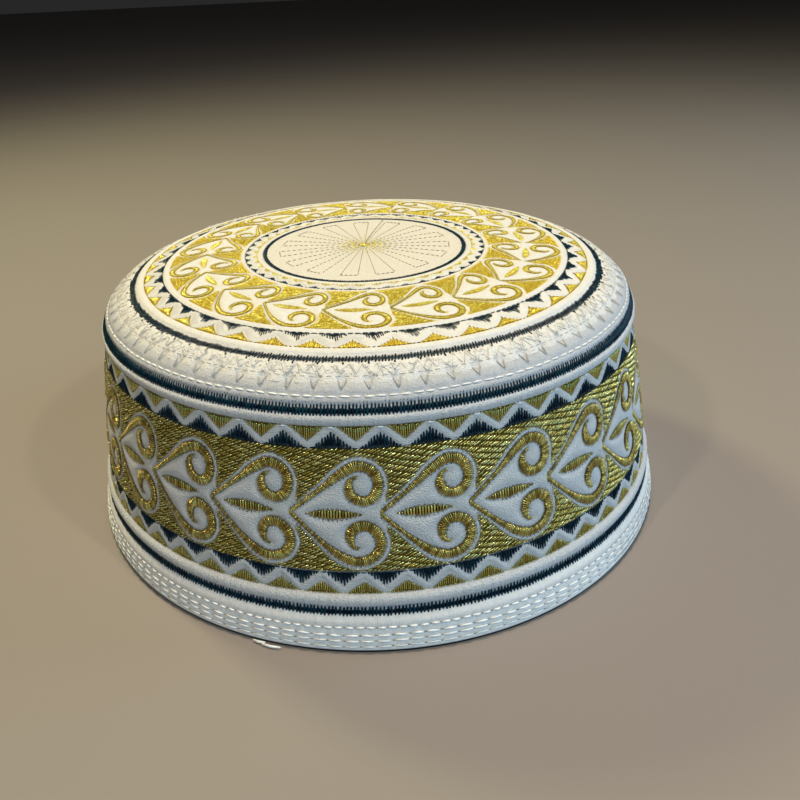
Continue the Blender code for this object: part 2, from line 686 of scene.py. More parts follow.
def satin_stitches(thread, scroll, pitch, scale, wide, bow):
    """Satin across the lobes of every heart."""
    ticks = np.arange(LOBE_STEPS + 1)
    for heart in range(scroll.count):
        for side in LOBES:
            count = int(side["length"] * scale / pitch)
            part = (np.arange(count) + 0.5) / count * LOBE_STEPS
            line = np.column_stack([np.interp(part, ticks, side["line"][:, i]) for i in (0, 1)])
            width = wide * np.interp(part, ticks, side["width"])
            ragged = thread.draw.uniform(0.9, 1.12, (2, count))
            lean = thread.draw.normal(0, 0.05, count)
            along, across = directions(line)
            one = line + across * (width / 2 * ragged[0])[:, None] + along * lean[:, None]
            two = line - across * (width / 2 * ragged[1])[:, None] - along * lean[:, None]
            thread.add(
                scroll.face,
                scroll.place(heart, *one.T),
                scroll.place(heart, *two.T),
                width=pitch * 0.95,
                rise=0.17,
                lift=0.08,
                bow=bow * np.clip(width / SATIN_WIDE, 0.3, 1),
            )


def leaf_stitches(thread, scroll, pitch, scale):
    """Upright stitches that make the leaf in each heart."""
    count = int((LEAF_END - LEAF_START) * scale / pitch)
    x = LEAF_START + (np.arange(count) + 0.5) / count * (LEAF_END - LEAF_START)
    for heart in range(scroll.count):
        half = np.maximum(leaf_half(x) * thread.draw.uniform(0.9, 1.08, count), 0.25)
        lean = thread.draw.normal(0, 0.05, count)
        thread.add(
            scroll.face,
            scroll.place(heart, x + lean, LEAF_MIDDLE - half),
            scroll.place(heart, x - lean, LEAF_MIDDLE + half),
            width=pitch * 0.95,
            rise=0.28,
            lift=0.02,
            bow=0.30,
        )


def satin_edges(thread, scroll, steps, width):
    """A thin dark line of stitches along both sides of each lobe's satin: an edge run, darkened as
    painted shade of the raised satin's edges.
    """
    ticks = np.linspace(0, LOBE_STEPS - 2, steps + 1).astype(int)
    for side in LOBES:
        for share in (-0.5, 0.5):
            line = beside(side["line"], side["width"] * share * 0.62)[ticks]
            for heart in range(scroll.count):
                angle, y = scroll.place(heart, *line.T)
                thread.add(
                    scroll.face,
                    (angle[:-1], y[:-1]),
                    (angle[1:], y[1:]),
                    width=width,
                    rise=0.22,
                    lift=0.06,
                    bow=0.02,
                )


def needle_lines():
    """Lines of needle points: outside the rim, on both sides of the satin, and round the leaf."""
    lines = []
    for side in LOBES:
        width = side["left"] * side["width"]
        rim = side["left"] * side["outline_width"]
        for part, offset in (
            (slice(0, OUTLINE_LAST), 0.46 * width + rim),
            (slice(0, OUTLINE_LAST), 0.5 * width),
            (slice(10, 130), -0.5 * width),
        ):
            lines.append(beside(side["line"], offset)[part])
    leaf_x = np.linspace(LEAF_START, LEAF_END, LEAF_STEPS)
    for half in (-1.08, 1.08):
        lines.append(np.column_stack([leaf_x, half * leaf_half(leaf_x) + LEAF_MIDDLE]))
    return lines


def needle_dots(thread, scroll, pitch, width):
    """Short dark gold stitches at the needle points along the lines of every heart, as painted shade of
    the needle holes.
    """
    for line in needle_lines():
        length = lengths_along(line)
        marks = np.arange(0, length[-1], pitch)
        x, y = (np.interp(marks, length, line[:, i]) for i in (0, 1))
        for heart in range(scroll.count):
            place = thread.draw.uniform(-0.09, 0.09, (2, len(x)))
            angle, up = scroll.place(heart, x + place[0], y + place[1])
            reach = thread.draw.uniform(0.10, 0.26, len(x))
            ends = [(angle, up - reach), (angle, up + reach)]
            thread.add(scroll.face, *ends, width=width, rise=0.2, lift=0.12)


def longest_run(marks):
    """First and last place of the longest unbroken run of marks in each row."""
    length = np.zeros(marks.shape, int)
    for i in range(marks.shape[1]):
        before = length[:, i - 1] if i else 0
        length[:, i] = np.where(marks[:, i], before + 1, 0)
    last = length.argmax(axis=1)
    longest = length.max(axis=1)
    return last - np.maximum(longest, 1) + 1, last


def fill_stitches(thread, scroll, row_pitch, spacing, run, reach, width, fall, loose):
    """Gold ground round the hearts: rows of slanting stitches side by side, their ends in lines.

    Each stitch goes round the cap by run and up by reach, a share of the row pitch. A row sinks by
    fall row pitches from one heart to the next, and its stitches stray from it by up to loose.
    """
    per_degree = scroll.face.per_degree(scroll.middle)
    count = round(360 * per_degree / spacing)
    parts = np.linspace(0, 1, 14)
    ticks = np.arange(count)
    for row in range(math.ceil((scroll.high - scroll.low) / row_pitch) + 2):
        start = (ticks + thread.draw.uniform(-UNEVEN, UNEVEN, count)) * 360 / count
        start = start + row * ROW_SHIFT * spacing / per_degree
        wave = loose * thread.draw.uniform(-1, 1, count)
        drop = np.mod(-fall * start / scroll.pitch, 1)
        foot = scroll.low + (row - 1.5 + drop) * row_pitch + wave
        rise = row_pitch * reach * thread.draw.uniform(0.94, 1.06, count)
        along = run * thread.draw.uniform(0.92, 1.08, count) / per_degree
        angle = start[:, None] + parts * along[:, None]
        y = foot[:, None] + parts * rise[:, None]
        edge = thread.draw.uniform(0.30, 0.98, (count, 1))
        ground = (scroll.white(angle, y) < edge) & (y > scroll.low) & (y < scroll.high)
        first, last = longest_run(ground)
        kept = last - first >= 2
        thread.add(
            scroll.face,
            (angle[ticks, first][kept], y[ticks, first][kept]),
            (angle[ticks, last][kept], y[ticks, last][kept]),
            width=thread.draw.uniform(0.85, 1.15, kept.sum()) * width,
            rise=0.30,
            lift=thread.draw.uniform(-0.05, 0.10, kept.sum()),
            bow=0.22 + 0.10 * reach * row_pitch,
        )


def ring_stitches(thread, face, low, high, pitch, lean, ragged, width=0.50, bow=0.20):
    """A ring of upright satin all round the cap."""
    count = round(360 * face.per_degree((low + high) / 2) / pitch)
    angle = (np.arange(count) + thread.draw.uniform(-UNEVEN, UNEVEN, count)) * 360 / count
    shift = lean / face.per_degree(low) / 2
    thread.add(
        face,
        (angle - shift, low + thread.draw.uniform(-ragged, ragged, count)),
        (angle + shift, high + thread.draw.uniform(-ragged, ragged, count)),
        width=width,
        rise=0.34,
        lift=0.04,
        bow=bow,
    )


def comb_ring(thread, low, high, pitch, lean):
    """A dense ring of satin with pointed teeth along both edges, and a row of dots above."""
    ring_stitches(thread, SIDE, low + 0.15, high - 0.80, pitch, lean, 0.15, pitch * 1.10)
    ring_stitches(thread, SIDE, low - 0.45, high + 0.20, pitch, lean, 0.20, pitch * 0.66)
    ring_stitches(thread, SIDE, high + 0.25, high + 0.60, pitch, lean, 0.10, pitch * 0.5)


# A row of triangles round a face: how many, the angle of one apex, and the levels of base and apex
TriangleRow = namedtuple("TriangleRow", "face count first base apex")


def triangle_stitches(thread, row, half, pitch, width, ragged, bell=0.9, lean=0.0, start=0.0):
    """Upright stitches in a row of triangles, from a share of their height up.

    half is half of a triangle's base. A bell over 1 hollows its two sides.
    """
    across = int(2 * half / pitch)
    offset = (np.arange(across) + 0.5) / across * 2 - 1
    per_degree = row.face.per_degree(row.base)
    jitter = thread.draw.uniform(-UNEVEN, UNEVEN, (row.count, across)) * pitch
    angle = turns(row.count, row.first)[:, None] + (offset * half + jitter) / per_degree
    reach = (1 - np.abs(offset)) ** bell
    length = (row.apex - row.base) * np.maximum(reach, 0.08)
    cut = thread.draw.uniform(-ragged, ragged, (row.count, across)) * np.sign(row.apex - row.base)
    foot = row.base + start * length + thread.draw.uniform(-UNEVEN, UNEVEN, (row.count, across))
    thread.add(
        row.face,
        (angle, foot),
        (angle + lean * length / per_degree, row.base + length + cut),
        width=width,
        rise=0.30,
        lift=0.02,
        bow=0.16,
    )


def running_stitches(thread, face, y, dash, count, width, holes=None, rise=0.3, lift=0.08):
    """A row of running stitches all round the cap, with grey stitches between them, if given, as painted
    shade of the needle holes.
    """
    per_degree = face.per_degree(y)
    start = (np.arange(count) + thread.draw.uniform(-0.05, 0.05, count)) * 360 / count
    level = y + 0.10 * waves(start, (3, 7, 12, 19), int(y * 10))
    slip = thread.draw.uniform(-0.07, 0.07, (2, count))
    reach = dash * thread.draw.uniform(0.92, 1.06, count) / per_degree
    thread.add(
        face,
        (start, level + slip[0]),
        (start + reach, level + slip[1]),
        width=width,
        rise=rise,
        lift=lift,
        bow=0.12,
    )
    # Painted shade of the needle holes, as grey stitches in the gaps
    if holes:
        gap = 360 / count - dash / per_degree
        holes.add(
            face,
            (start - gap * 0.9, level),
            (start - gap * 0.1, level),
            width=width * 0.55,
            rise=0.08,
            lift=lift - 0.05,
        )


# Levels of the side, from the heights of what lies there

# Top of the painted shade on the hem's underside; the hem's cloth rows start from it too
HEM_PAINTED_SHADE_TOP = side_y(1.05)
HEM_LOW_ROW = side_y(2.25)
HEM_ROWS = [side_y(3.85), side_y(5.3), side_y(7.4)]
HEM_PUFFS = (0.18, 0.18, 0.22, 0.42)
HEM_STITCHES = 140
HEM_TOP_STITCHES = 214
LOWER_RING_FOOT = side_y(10.5)
LOWER_JOINT = side_y(11.7)
LOWER_RING_TOP = side_y(12.9)
LOWER_EDGE = side_y(16.6)
UPPER_EDGE = side_y(60.1)
UPPER_RING_FOOT = side_y(63.0)
UPPER_JOINT = side_y(64.2)
UPPER_RING_TOP = side_y(65.4)
SHOULDER_ROW = side_y(66.8)
SHOULDER_TUCK = side_y(69.4)
SHOULDER_TOP = SIDE.y[-1]

UPPER_COUNT = 45
UPPER_FIRST = 2.4
UPPER_NAVY = TriangleRow(SIDE, UPPER_COUNT, UPPER_FIRST, base=side_y(54.9), apex=side_y(59.1))
UPPER_GOLD = TriangleRow(SIDE, UPPER_COUNT, UPPER_FIRST + 4.0, base=UPPER_EDGE, apex=side_y(56.2))
UPPER_ZIGZAG = zigzag(UPPER_COUNT, UPPER_FIRST, peak=side_y(59.7), valley=side_y(55.3))
LOWER_COUNT = 53
LOWER_FIRST = 5.1
LOWER_BETWEEN = LOWER_FIRST + 180 / LOWER_COUNT
LOWER_NAVY = TriangleRow(SIDE, LOWER_COUNT, LOWER_BETWEEN, base=side_y(22.4), apex=side_y(18.3))
LOWER_GOLD = TriangleRow(SIDE, LOWER_COUNT, LOWER_FIRST, base=LOWER_EDGE, apex=side_y(19.8))
LOWER_ZIGZAG = zigzag(LOWER_COUNT, LOWER_FIRST, peak=side_y(21.8), valley=side_y(17.3))

# Levels of the crown, from the radii of what lies there

OUTER_RING_OUT = crown_y(73.2)
OUTER_RING_MIDDLE = crown_y(72.25)
OUTER_RING_IN = crown_y(71.3)
MEDALLION_RING_OUT = crown_y(32.0)
MEDALLION_JOINT = crown_y(31.0)
MEDALLION_RING_IN = crown_y(30.6)
EDGE_IN = crown_y(73.8)
EDGE_OUT = crown_y(76.5)
EDGE_PER_DEGREE = 1.3  # millimetres, about
EDGE_COUNT = 76
EDGE_FIRST = 1.2

CROWN_COUNT = 42
CROWN_FIRST = 2.3
CROWN_BETWEEN = CROWN_FIRST + 180 / CROWN_COUNT
CROWN_NAVY = TriangleRow(CROWN, CROWN_COUNT, CROWN_FIRST, base=crown_y(62.9), apex=crown_y(66.1))
CROWN_GOLD = TriangleRow(CROWN, CROWN_COUNT, CROWN_BETWEEN, base=crown_y(68.5), apex=crown_y(65.6))
CROWN_ZIGZAG = zigzag(CROWN_COUNT, CROWN_BETWEEN, peak=crown_y(63.7), valley=crown_y(67.7))
SMALL_COUNT = 45
SMALL_FIRST = 2.5
SMALL_BETWEEN = SMALL_FIRST + 180 / SMALL_COUNT
SMALL_NAVY = TriangleRow(CROWN, SMALL_COUNT, SMALL_FIRST, base=crown_y(37.6), apex=crown_y(35.8))
SMALL_GOLD = TriangleRow(CROWN, SMALL_COUNT, SMALL_BETWEEN, base=crown_y(33.8), apex=crown_y(35.2))
SMALL_ZIGZAG = zigzag(SMALL_COUNT, SMALL_FIRST, peak=crown_y(34.9), valley=crown_y(36.5), steps=10)

# Puffs beside the crown's borders, as (inner radius, outer radius, rise)
CROWN_PUFFS = [(32.1, 33.6, 0.25), (37.7, 39.3, 0.35), (60.7, 62.7, 0.45)]

RAY_FIRST = -14.7
RAY_STEP = 24.0
RAY_PAIR = 11.6
RAY_PAIRS = 15
RAY_IN = 0.9
RAY_OUT = 25.6
RAY_PITCH = 1.72
RAY_DASH = 1.2
RAY_JOIN = 26.7  # radius at which a pair's two rays are joined
RAY_SHIFTS = (0.0, -1.2, 1.1, 2.4, 0.0)  # how far the first pairs turn from even


# Puffs of the cloth, stains where stitching hides it, and painted shade under the hem


def side_lift(angle, y):
    """How far the cloth between the two rings stands up, from its puffs and the hearts."""
    pucker = waves(angle, range(150, 340, 17), 1)
    loose = waves(angle, (3, 5, 8, 13), 2)
    lift = swell(y, UPPER_EDGE, UPPER_RING_FOOT, 0.62 + 0.08 * pucker + 0.08 * loose)
    lift = lift + swell(y, LOWER_RING_TOP, LOWER_EDGE, 0.72 + 0.08 * pucker + 0.08 * loose)
    return lift + SIDE_SCROLL.puff(angle, y) - SINK


def triangle_part(angle, y, row, half, share=1.0):
    """1 inside a row's triangles, of which a share of their height counts, with soft edges."""
    phase = np.mod((angle - row.first) * row.count / 360 + 0.5, 1) - 0.5
    across = np.abs(phase) * 360 / row.count * row.face.per_degree(y) / half
    up = (y - row.base) / (share * (row.apex - row.base))
    return step_up(1 - across - up, -0.05, 0.15) * step_up(up, -0.12, 0.0)


def ring_stains(angle, y):
    """Navy of the two rings of the side, under their stitches."""
    navy = 0.0
    for low, high in ((UPPER_RING_FOOT, UPPER_RING_TOP), (LOWER_RING_FOOT, LOWER_RING_TOP)):
        navy = navy + step_up(y, low + 0.15, low + 0.5) * step_up(high - 1.2 - y, -0.2, 0.2)
    return {"gold": np.zeros_like(y), "navy": navy, "drawn": np.ones_like(y)}


def side_stains(angle, y):
    """Where dense gold or navy stitching hides the white cloth of the side. Its gold is dark, as painted
    shade in the gaps between the stitches.
    """
    gold = SIDE_SCROLL.gold(angle, y)
    for row in (UPPER_GOLD, LOWER_GOLD):
        gold = np.maximum(gold, triangle_part(angle, y, row, half=4.4))
    navy = ring_stains(angle, y)["navy"]
    for row in (UPPER_NAVY, LOWER_NAVY):
        navy = np.maximum(navy, triangle_part(angle, y, row, half=4.2, share=0.72))
    plain = (y < SIDE_SCROLL.low) | (y > SIDE_SCROLL.high)
    return {"gold": gold, "navy": navy, "drawn": plain.astype(float)}


def hem_stains_and_shade(angle, y):
    """Painted shade: the hem's underside in the near-black navy stain, for the dark line where it meets
    the floor; and the ring's stain over it.
    """
    stains = ring_stains(angle, y)
    # Painted shade: below this level the underside takes the near-black navy stain
    under = 1 - step_up(y, HEM_PAINTED_SHADE_TOP - 0.15, HEM_PAINTED_SHADE_TOP)
    return stains | {"navy": np.maximum(stains["navy"], under)}


def stitch_pull(angle, count):
    """1 where a running stitch of a row with this many goes down through the cloth, 0 elsewhere."""
    return (0.5 + 0.5 * np.cos(np.radians(angle) * count + 0.2 * math.pi)) ** 5


def edge_pull(angle):
    """1 at each stitch that pulls the crown's edge down on the side, 0 half way between."""
    return 0.5 + 0.5 * np.cos(np.radians(angle - EDGE_FIRST) * EDGE_COUNT)


def crown_lift(angle, y):
    """How far the crown's cloth stands up beside its rings and borders, and at its edge."""
    radius = CROWN.radius_at(y)
    loose = waves(angle, (3, 5, 9, 14), 4)
    lift = sum(swell(radius, *puff) for puff in CROWN_PUFFS)
    lift = lift + swell(radius, 68.7, 71.3, 0.6 + 0.06 * loose)
    lift = lift + 0.8 * CROWN_SCROLL.puff(angle, y)
    fuzz = waves(angle, range(90, 260, 11), 5)
    lift = lift + swell(radius, 73.3, 76.8, 0.35 + 0.08 * fuzz)
    edge = step_up(radius, 75.6, 77.4)
    return lift + edge * (0.40 - 0.75 * edge_pull(angle) ** 2) - SINK


def crown_stains(angle, y):
    """Where dense gold or navy stitching hides the white cloth of the crown."""
    gold = np.maximum(CROWN_SCROLL.gold(angle, y), triangle_part(angle, y, CROWN_GOLD, half=4.4))
    navy = triangle_part(angle, y, CROWN_NAVY, half=2.8, share=0.45)
    for low, high in ((OUTER_RING_OUT, OUTER_RING_IN), (MEDALLION_RING_OUT, MEDALLION_RING_IN)):
        ring = 0.9 * step_up(y, low + 0.1, low + 0.4) * step_up(high - 0.1 - y, 0.0, 0.3)
        navy = np.maximum(navy, ring)
    return {"gold": gold, "navy": navy, "drawn": (CROWN.radius_at(y) > 68).astype(float)}


def medallion_lift(angle, y):
    """A low dome, with a dent along each ray."""
    radius = CROWN.radius_at(y)
    rays = 0.5 + 0.5 * np.cos(np.radians(angle - 2.0) * 2 * RAY_PAIRS)
    dents = step_up(radius, 3, 9) * step_up(27.5 - radius, 0, 2)
    return swell(radius, -31, 30.7, 0.15) - 0.12 * rays**6 * dents - SINK


def shoulder_lift(angle, y):
    """Two puffs, below the running stitches and above them, drawn in under the crown's edge."""
    pucker = waves(angle, range(90, 220, 13), 6)
    loose = waves(angle, (3, 6, 11, 17), 7)
    lift = swell(y, UPPER_RING_TOP, SHOULDER_ROW, 0.35 + 0.08 * pucker)
    puff = 0.80 + 0.07 * pucker + 0.10 * loose - 0.35 * edge_pull(angle) ** 3
    return lift + swell(y, SHOULDER_ROW, SHOULDER_TUCK, puff) - SINK


def hem_lift(angle, y):
    """A puff between each two quilted rows, dimpled where their stitches go down."""
    lift = -0.08
    marks = [HEM_LOW_ROW] + HEM_ROWS + [LOWER_RING_FOOT]
    for number, rise in enumerate(HEM_PUFFS):
        pucker = waves(angle, range(110, 270, 19), 11 + number)
        drawn = 0.14 * stitch_pull(angle, HEM_STITCHES if number < 3 else HEM_TOP_STITCHES)
        lift = lift + swell(y, marks[number], marks[number + 1], rise + 0.06 * pucker - drawn)
    return lift + swell(y, HEM_PAINTED_SHADE_TOP - 0.4, HEM_LOW_ROW, 0.10)


# Shader groups

NUMBER = "NodeSocketFloat"
COLOUR = "NodeSocketColor"


def new_group(name, inputs, outputs):
    """A shader group, with (label, kind, value) for each input and (label, kind) for each output."""
    group = bpy.data.node_groups.new(name, "ShaderNodeTree")
    for label, kind, value in inputs:
        socket = group.interface.new_socket(label, in_out="INPUT", socket_type=kind)
        socket.default_value = value
    for label, kind in outputs:
        group.interface.new_socket(label, in_out="OUTPUT", socket_type=kind)
    return group, group.nodes.new("NodeGroupInput").outputs, group.nodes.new("NodeGroupOutput")


def node(tree, kind, inputs=None, **settings):
    """A new node. Each input takes a link from a socket, or else a value."""
    made = tree.nodes.new(kind)
    for name, value in settings.items():
        setattr(made, name, value)
    for key, value in (inputs or {}).items():
        if hasattr(value, "is_output"):
            tree.links.new(value, made.inputs[key])
        else:
            made.inputs[key].default_value = value
    return made


def math_node(tree, operation, one, two):
    return node(tree, "ShaderNodeMath", {0: one, 1: two}, operation=operation).outputs[0]


def noise_node(tree, place, **inputs):
    return node(tree, "ShaderNodeTexNoise", {"Vector": place} | inputs).outputs["Fac"]


def spread_node(tree, value, low, high, end_low=0.0, end_high=1.0):
    """The value, spread so that low to high becomes end_low to end_high."""
    ends = {"From Min": low, "From Max": high, "To Min": end_low, "To Max": end_high}
    return node(tree, "ShaderNodeMapRange", {"Value": value} | ends).outputs[0]


def mix_node(tree, part, one, two):
    inputs = {"Factor": part, "A": one, "B": two}
    return node(tree, "ShaderNodeMix", inputs, data_type="RGBA").outputs["Result"]


def attribute_node(tree, name):
    return node(tree, "ShaderNodeAttribute", attribute_name=name).outputs["Fac"]


def weave_group():
    """Height of crossing threads, grain and drawn creases, and uneven patches, in the cloth's own mm."""
    group, start, end = new_group(
        "weave",
        [("Weave", NUMBER, 1.0), ("Grain", NUMBER, 0.5), ("Creases", NUMBER, 0.5)],
        [("Height", NUMBER), ("Patches", NUMBER)],
    )
    cloth = node(group, "ShaderNodeUVMap", uv_map="cloth").outputs[0]
    band = {"Vector": cloth, "Scale": 1.1, "Distortion": 1.5, "Detail Scale": 2.0}
    crossing = [
        node(group, "ShaderNodeTexWave", band, bands_direction=direction).outputs["Fac"]
        for direction in ("X", "Y")
    ]
    height = math_node(group, "MULTIPLY", math_node(group, "MULTIPLY", *crossing), start["Weave"])
    for label, stretch, detail in (("Grain", (2.4, 2.4, 1), 3.0), ("Creases", (0.9, 0.12, 1), 2.0)):
        drawn = node(group, "ShaderNodeMapping", {"Vector": cloth, "Scale": stretch}).outputs[0]
        noise = noise_node(group, drawn, Scale=1.0, Detail=detail)
        height = math_node(group, "ADD", height, math_node(group, "MULTIPLY", noise, start[label]))
    patches = noise_node(group, cloth, Scale=0.9, Detail=8.0, Roughness=0.85)
    group.links.new(height, end.inputs["Height"])
    group.links.new(spread_node(group, patches, 0.3, 0.7), end.inputs["Patches"])
    return group


def thread_group():
    """Colour of a thread: each stitch a little different, with fine twist along it."""
    group, start, end = new_group(
        "thread",
        [
            ("Deep", COLOUR, (0, 0, 0, 1)),
            ("Bright", COLOUR, (1, 1, 1, 1)),
            ("Twist", NUMBER, 4000.0),
        ],
        [("Color", COLOUR), ("Rough", NUMBER), ("Height", NUMBER)],
    )
    place = node(group, "ShaderNodeTexCoord").outputs["Object"]
    twist = noise_node(group, place, Scale=start["Twist"], Detail=2.0)
    both = math_node(group, "ADD", attribute_node(group, "shade"), twist)
    part = spread_node(group, both, 0.35, 1.65)
    group.links.new(mix_node(group, part, start["Deep"], start["Bright"]), end.inputs["Color"])
    group.links.new(spread_node(group, twist, 0.3, 0.7, 0.14, 0.36), end.inputs["Rough"])
    group.links.new(twist, end.inputs["Height"])
    return group


# Materials

Cloth = namedtuple("Cloth", "white gold weave grain creases")
# Under the side's gold stitching: a gold underlay, darkened as painted shade in the gaps between
# stitches
DARK_GOLD_UNDERLAY_AND_SHADE = (0.110, 0.080, 0.012)
CROWN_GOLD_STAIN = (0.60, 0.43, 0.016)
# Navy under navy stitching, and also the painted shade on the hem's underside
NAVY_STAIN_AND_HEM_SHADE = (0.002, 0.009, 0.020)
CLOTHS = {
    # padded_cloth and smooth_cloth are the crown padding's white cloth, drawn darker and bluer as
    # painted shade and cool light of the side
    "padded_cloth": Cloth((0.60, 0.62, 0.65), DARK_GOLD_UNDERLAY_AND_SHADE, 0.2, 3.5, 4.0),
    "crown_padding": Cloth((0.74, 0.74, 0.73), CROWN_GOLD_STAIN, 0.2, 2.5, 2.0),
    "medallion_cloth": Cloth((0.68, 0.66, 0.62), CROWN_GOLD_STAIN, 0.4, 1.5, 1.5),
    "smooth_cloth": Cloth((0.54, 0.56, 0.60), DARK_GOLD_UNDERLAY_AND_SHADE, 0.6, 1.5, 2.5),
    "hem_cloth": Cloth((0.87, 0.87, 0.87), DARK_GOLD_UNDERLAY_AND_SHADE, 0.6, 1.0, 1.5),
}

Thread = namedtuple("Thread", "deep bright metallic gloss slot")
THREADS = {
    "gold_thread": Thread((0.52, 0.40, 0.042), (1.0, 0.98, 0.46), 0.80, 0.8, "gold_thread"),
    "satin_thread": Thread((0.24, 0.150, 0.014), (0.98, 0.84, 0.26), 0.80, 0.8, "gold_thread"),
    "bright_gold_thread": Thread((0.64, 0.45, 0.012), (1.0, 0.93, 0.20), 0.45, 0.8, "gold_thread"),
    "ray_thread": Thread((0.09, 0.06, 0.012), (0.30, 0.21, 0.04), 0.60, 0.4, "gold_thread"),
    # Dark gold: the carried thread and baselines, and painted shade at needle points and along the
    # satin's edges
    "dark_gold_thread_and_shade": Thread((0.08, 0.055, 0.008), (0.20, 0.145, 0.02), 0.60, 0.3, "gold_thread"),
    "navy_thread": Thread((0.001, 0.006, 0.016), (0.004, 0.038, 0.062), 0.0, 0.14, "navy_thread"),
    "white_thread": Thread((0.84, 0.87, 0.89), (0.94, 0.96, 0.98), 0.0, 0.5, "white_thread"),
    # Grey: the edge ties' thread, darkened as painted shadow of their pull into the cloth
    "tie_thread_and_shadow": Thread((0.32, 0.32, 0.32), (0.56, 0.56, 0.55), 0.0, 0.2, "white_thread"),
    "grey_thread": Thread((0.56, 0.54, 0.52), (0.80, 0.78, 0.75), 0.0, 0.2, "white_thread"),
    # Grey stitches between running stitches: painted shade of the needle holes
    "needle_hole_shade": Thread((0.22, 0.22, 0.22), (0.36, 0.36, 0.35), 0.0, 0.1, "side_cloth"),
}


def new_material(name):
    material = bpy.data.materials.new(name)
    material.use_nodes = True
    tree = material.node_tree
    return material, tree, tree.nodes["Principled BSDF"]


def link_surface(tree, shader, colour, height, strength, depth):
    """Gives the shader its colour, and a bump of this depth in metres from the height."""
    tree.links.new(colour, shader.inputs["Base Color"])
    bump = node(tree, "ShaderNodeBump", {"Strength": strength, "Distance": depth, "Height": height})
    tree.links.new(bump.outputs[0], shader.inputs["Normal"])


def thread_material(name, group, thread):
    material, tree, shader = new_material(name)
    colours = {"Deep": (*thread.deep, 1), "Bright": (*thread.bright, 1)}
    look = node(tree, "ShaderNodeGroup", colours, node_tree=group).outputs
    link_surface(tree, shader, look["Color"], look["Height"], 0.25, 0.00008)
    tree.links.new(look["Rough"], shader.inputs["Roughness"])
    shader.inputs["Metallic"].default_value = thread.metallic
    shader.inputs["Specular IOR Level"].default_value = thread.gloss
    return material


def cloth_material(name, group, cloth):
    material, tree, shader = new_material(name)
    creases = math_node(tree, "MULTIPLY", attribute_node(tree, "drawn"), cloth.creases)
    strengths = {"Weave": cloth.weave, "Grain": cloth.grain, "Creases": creases}
    look = node(tree, "ShaderNodeGroup", strengths, node_tree=group).outputs
    shades = [tuple(share * c for c in cloth.white) + (1,) for share in (0.82, 1.08)]
    colour = mix_node(tree, look["Patches"], *shades)
    # The navy stain also carries the painted shade on the hem's underside
    for stain, value in (("gold", cloth.gold), ("navy", NAVY_STAIN_AND_HEM_SHADE)):
        colour = mix_node(tree, attribute_node(tree, stain), colour, (*value, 1))
    link_surface(tree, shader, colour, look["Height"], 0.75, 0.0002)
    shader.inputs["Roughness"].default_value = 0.75
    shader.inputs["Specular IOR Level"].default_value = 0.15
    return material


def make_materials():
    weave = weave_group()
    twist = thread_group()
    cloths = {name: cloth_material(name, weave, cloth) for name, cloth in CLOTHS.items()}
    return cloths | {name: thread_material(name, twist, thread) for name, thread in THREADS.items()}


MATERIALS = make_materials()


# Pieces


def finish_piece(piece, material, solid):
    piece.data.materials.append(MATERIALS[material])
    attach(piece, "root")
    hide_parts(solid)


def cloth_piece(name, face, material, columns, rows, lift, stains=None):
    piece = turned_cloth(name, face, columns, rows, lift, stains)
    finish_piece(piece, material, face.solid)
    return piece


def ridge_piece(name, face, material, line, width, rise):
    angle, y = line
    piece = ridges(name, face, angle[None], y[None], width, rise)
    finish_piece(piece, material, face.solid)


def sewn_piece(name, face, material, thread, prototype=SHORT_STITCH, shades=(0.0, 1.0)):
    piece = thread.sew(name, prototype, shades)
    finish_piece(piece, material, face.solid)


def cloth_pieces():
    """The cloth of the crown and the side, outside and inside."""
    rows = levels(
        0.0, 12, OUTER_RING_IN, 22, CROWN_SCROLL.low, 32, CROWN_SCROLL.high, 12, MEDALLION_JOINT
    )
    crown = cloth_piece("crown_cloth", CROWN, "crown_padding", 780, rows, crown_lift, crown_stains)
    rows = levels(MEDALLION_JOINT, 22, crown_y(2.0), 3, CROWN.y[-1])
    medallion = cloth_piece("crown_medallion", CROWN, "medallion_cloth", 300, rows, medallion_lift)
    rows = levels(
        *(LOWER_JOINT, 5, LOWER_RING_TOP, 8, LOWER_EDGE, 10, SIDE_SCROLL.low, 46),
        *(SIDE_SCROLL.high, 8, UPPER_EDGE, 7, UPPER_RING_FOOT, 5, UPPER_JOINT),
    )
    side = cloth_piece("side_cloth", SIDE, "padded_cloth", 800, rows, side_lift, side_stains)
    rows = levels(UPPER_JOINT, 10, SHOULDER_ROW, 12, SHOULDER_TOP)
    shoulder = cloth_piece(
        "shoulder_cloth", SIDE, "smooth_cloth", 720, rows, shoulder_lift, ring_stains
    )
    rows = levels(0.0, 4, HEM_PAINTED_SHADE_TOP - 0.25, 4, HEM_LOW_ROW, 26, LOWER_JOINT)
    hem = cloth_piece("hem_cloth", SIDE, "hem_cloth", 720, rows, hem_lift, hem_stains_and_shade)
    crown_inside = cloth_piece(
        "crown_inside",
        CROWN,
        "smooth_cloth",
        160,
        levels(CROWN.y[-1], 24, 2.0, 2, 0.0),
        lambda angle, y: np.full_like(y, -CROWN_THICKNESS),
    )
    side_inside = cloth_piece(
        "side_inside",
        SIDE,
        "smooth_cloth",
        160,
        levels(SHOULDER_TOP, 40, side_y(2.0), 4, 0.9),
        lambda angle, y: -WALL_THICKNESS * step_up(y, 0.2, 3.0),
    )


def zigzag_ridges():
    """The puffed white zigzags that part the gold triangles from the navy ones."""
    ridge_piece("upper_zigzag", SIDE, "padded_cloth", UPPER_ZIGZAG, width=2.0, rise=0.32)
    ridge_piece("lower_zigzag", SIDE, "padded_cloth", LOWER_ZIGZAG, width=2.0, rise=0.32)
    ridge_piece("crown_zigzag", CROWN, "crown_padding", CROWN_ZIGZAG, width=2.0, rise=0.25)
    ridge_piece("medallion_zigzag", CROWN, "crown_padding", SMALL_ZIGZAG, width=0.95, rise=0.25)


